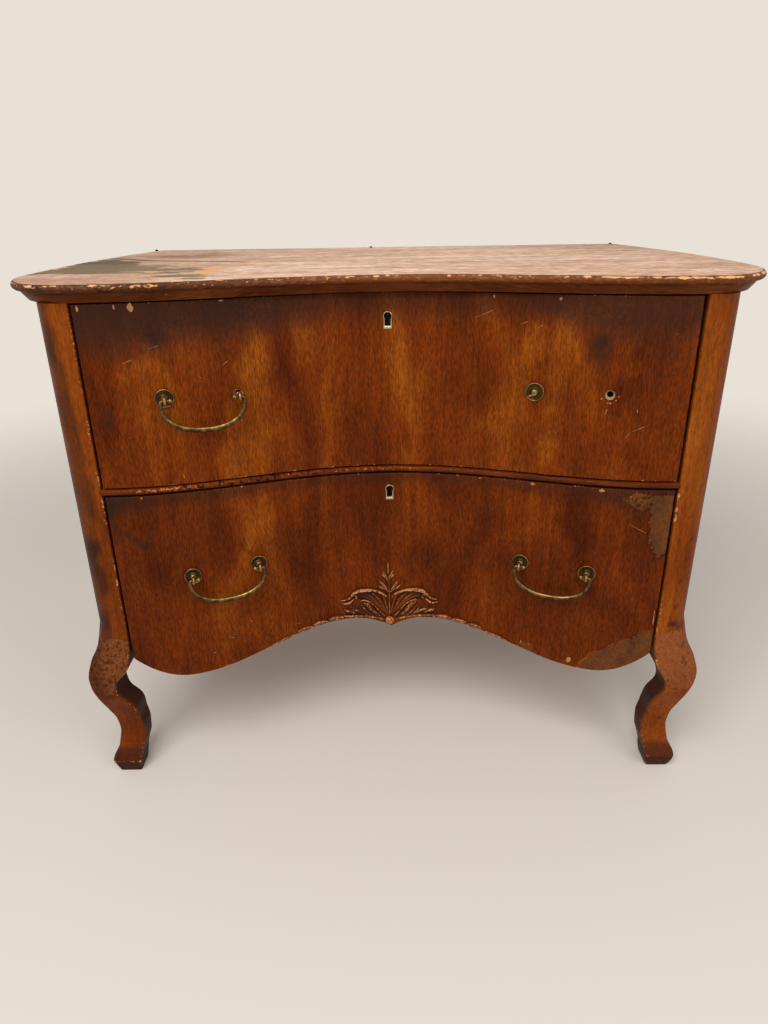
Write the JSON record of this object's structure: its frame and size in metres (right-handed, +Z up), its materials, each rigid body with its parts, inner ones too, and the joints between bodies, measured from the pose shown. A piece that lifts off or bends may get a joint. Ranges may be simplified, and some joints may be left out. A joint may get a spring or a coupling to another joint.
{
  "type": "serpentine-front chest of drawers",
  "caption": "Low wooden chest with serpentine drawer fronts, shaped apron with carving, cabriole front legs, thin shaped top, brass bail pulls, half-mortise locks.",
  "frame": {"origin": "middle of the bounding box, on the floor", "axes": "+Z up, +X to the right of someone who faces the drawers, the drawers open towards -Y"},
  "size_m": [0.96, 0.5314, 0.742],
  "materials": {
    "bleached_mahogany": "sun-bleached, worn varnish",
    "flame_mahogany": "figured veneer, old satin varnish",
    "dark_mahogany": "dark stained, worn",
    "solid_mahogany": "old satin varnish",
    "carved_mahogany": "carved, worn bright on the high places",
    "plain_softwood": "unfinished",
    "aged_brass": "tarnished",
    "dark_steel": "dull, oxidised"
  },
  "bodies": {
    "case": {"top_board": "bleached_mahogany", "top_moulding_front": "dark_mahogany", "top_moulding_left": "dark_mahogany", "top_moulding_right": "dark_mahogany", "front_post_left": "solid_mahogany", "front_post_right": "solid_mahogany", "rear_post_left": "solid_mahogany", "rear_post_right": "solid_mahogany", "side_panel_left": "solid_mahogany", "side_panel_right": "solid_mahogany", "side_top_rail_left": "solid_mahogany", "side_top_rail_right": "solid_mahogany", "side_bottom_rail_left": "solid_mahogany", "side_bottom_rail_right": "solid_mahogany", "mid_rail": "solid_mahogany", "back_panel": "plain_softwood", "back_top_rail": "plain_softwood", "back_bottom_rail": "plain_softwood", "front_bottom_rail": "plain_softwood", "runner_upper_left": "plain_softwood", "runner_upper_right": "plain_softwood", "runner_lower_left": "plain_softwood", "runner_lower_right": "plain_softwood"},
    "upper_drawer": {"upper_drawer_front": "flame_mahogany", "upper_drawer_side_left": "plain_softwood", "upper_drawer_side_right": "plain_softwood", "upper_drawer_back": "plain_softwood", "upper_drawer_bottom": "plain_softwood", "lock_case_upper": "dark_steel", "escutcheon_upper": "aged_brass", "pull_post_upper_left_inner": "aged_brass", "pull_post_upper_left_outer": "aged_brass", "pull_post_upper_right_inner": "aged_brass", "rosette_upper_left_outer": "aged_brass", "rosette_upper_right_inner": "aged_brass"},
    "lower_drawer": {"lower_drawer_front": "flame_mahogany", "lower_drawer_side_left": "plain_softwood", "lower_drawer_side_right": "plain_softwood", "lower_drawer_back": "plain_softwood", "lower_drawer_bottom": "plain_softwood", "lock_case_lower": "dark_steel", "escutcheon_lower": "aged_brass", "pull_post_lower_left_inner": "aged_brass", "rosette_lower_left_inner": "aged_brass", "pull_post_lower_left_outer": "aged_brass", "rosette_lower_left_outer": "aged_brass", "pull_post_lower_right_inner": "aged_brass", "rosette_lower_right_inner": "aged_brass", "pull_post_lower_right_outer": "aged_brass", "rosette_lower_right_outer": "aged_brass", "carving_crest": "carved_mahogany", "carving_spray_left": "carved_mahogany", "carving_spray_right": "carved_mahogany"},
    "upper_bolt": {"lock_bolt_upper": "aged_brass"},
    "lower_bolt": {"lock_bolt_lower": "aged_brass"},
    "upper_left_bail": {"bail_upper_left": "aged_brass"},
    "lower_left_bail": {"bail_lower_left": "aged_brass"},
    "lower_right_bail": {"bail_lower_right": "aged_brass"}
  },
  "joints": [
    {"name": "upper_drawer_slide", "type": "slide", "parent": "case", "child": "upper_drawer", "axis": [0, -1, 0], "range_m": [0, 0.3]},
    {"name": "lower_drawer_slide", "type": "slide", "parent": "case", "child": "lower_drawer", "axis": [0, -1, 0], "range_m": [0, 0.3]},
    {"name": "upper_bolt_slide", "type": "slide", "parent": "upper_drawer", "child": "upper_bolt", "axis": [0, 0, 1], "range_m": [0, 0.006]},
    {"name": "lower_bolt_slide", "type": "slide", "parent": "lower_drawer", "child": "lower_bolt", "axis": [0, 0, 1], "range_m": [0, 0.006]},
    {"name": "upper_left_bail_hinge", "type": "hinge", "parent": "upper_drawer", "child": "upper_left_bail", "pos_m": [-0.23619, -0.2395, 0.59799], "axis": [-0.9596, -0.2806, 0.0216], "range_deg": [-10, 90]},
    {"name": "lower_left_bail_hinge", "type": "hinge", "parent": "lower_drawer", "child": "lower_left_bail", "pos_m": [-0.23089, -0.23802, 0.34425], "axis": [-0.9567, -0.2849, -0.0592], "range_deg": [-10, 90]},
    {"name": "lower_right_bail_hinge", "type": "hinge", "parent": "lower_drawer", "child": "lower_right_bail", "pos_m": [0.22781, -0.23714, 0.3405], "axis": [-0.9563, 0.2875, 0.0536], "range_deg": [-10, 90]}
  ]
}
